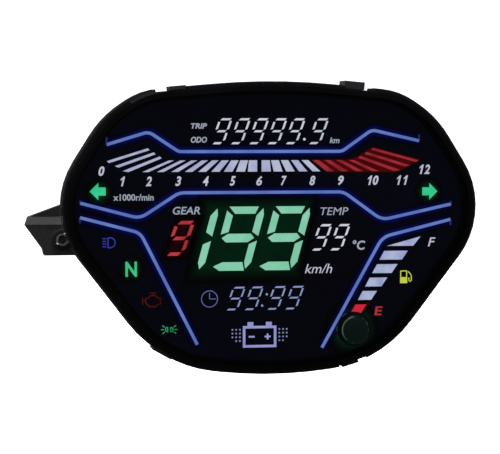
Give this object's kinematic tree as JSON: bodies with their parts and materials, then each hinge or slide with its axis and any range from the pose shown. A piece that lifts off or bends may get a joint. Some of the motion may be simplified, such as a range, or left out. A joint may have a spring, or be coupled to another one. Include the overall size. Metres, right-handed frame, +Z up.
{
  "type": "motorcycle instrument cluster",
  "caption": "Wide six-sided instrument cluster with a smoked lens over a segment display, a push button, a side mounting ear and a rear wiring socket.",
  "frame": {"origin": "centre of the housing's flat back wall", "axes": "+Z up, +X to the rider's right, +Y out of the back wall, so the face looks along -Y"},
  "size_m": [0.2131, 0.0597, 0.1385],
  "materials": {
    "smoked_lens": "smoked polycarbonate, polished",
    "black_housing": "fine-grained black ABS",
    "black_mask": "matt black",
    "face_film": "dark tinted film, printed black round its legends",
    "black_rubber": "matt",
    "dark_polarizer": "dark film",
    "display_glass": "clear",
    "colour_film": "printed film",
    "diffuser": "milky sheet",
    "white_reflector": "moulded white",
    "led_phosphor": "yellow phosphor in a white package",
    "board_green": "solder mask",
    "chip_black": "moulded epoxy",
    "ferrite": "matt",
    "plated_steel": "zinc plated",
    "aluminium_can": "drawn can",
    "tinned_brass": "tin plated",
    "socket_white": "natural nylon",
    "button_smoke": "glossy, greenish black"
  },
  "bodies": {
    "case": {"backlight_led_1": "led_phosphor", "backlight_led_2": "led_phosphor", "backlight_led_3": "led_phosphor", "backlight_led_4": "led_phosphor", "backlight_led_5": "led_phosphor", "backlight_led_6": "led_phosphor", "backlight_led_7": "led_phosphor", "backlight_led_8": "led_phosphor", "bezel_frame": "black_mask", "breather_vent": "black_rubber", "bulk_capacitor": "aluminium_can", "button_board": "board_green", "button_spring": "plated_steel", "case_screw_1": "plated_steel", "case_screw_2": "plated_steel", "case_screw_3": "plated_steel", "case_screw_4": "plated_steel", "circuit_board": "board_green", "clock_crystal": "plated_steel", "colour_film": "colour_film", "diffuser_sheet": "diffuser", "display_driver": "chip_black", "ear_bush": "plated_steel", "ear_grommet": "black_rubber", "elastomer_strip": "black_rubber", "face_sheet": "face_film", "filter_capacitor": "aluminium_can", "front_lens": "smoked_lens", "lcd_front_glass": "display_glass", "lcd_front_polarizer": "dark_polarizer", "lcd_rear_glass": "display_glass", "lcd_rear_polarizer": "dark_polarizer", "lens_seal": "black_rubber", "light_box": "white_reflector", "lower_insert": "tinned_brass", "microcontroller": "chip_black", "power_inductor": "ferrite", "rear_housing": "black_housing", "right_insert": "tinned_brass", "socket_pin_1": "tinned_brass", "socket_pin_2": "tinned_brass", "socket_pin_3": "tinned_brass", "socket_pin_4": "tinned_brass", "socket_pin_5": "tinned_brass", "socket_pin_6": "tinned_brass", "socket_pin_7": "tinned_brass", "socket_pin_8": "tinned_brass", "switch_body": "chip_black", "voltage_regulator": "chip_black", "wiring_socket": "socket_white"},
    "button": {"set_button": "button_smoke"},
    "plunger": {"switch_plunger": "chip_black"}
  },
  "joints": [
    {"name": "button_press", "type": "slide", "parent": "case", "child": "button", "axis": [0, 1, 0], "range_m": [0, 0.0012], "stiffness_N_per_m": 700, "springref_m": -0.001, "deforming": ["button_spring"]},
    {"name": "plunger_press", "type": "slide", "parent": "case", "child": "plunger", "axis": [0, 1, 0], "range_m": [0, 0.0012]}
  ],
  "couplings": [
    {"joint": "plunger_press", "follows": "button_press", "ratio": 1}
  ]
}
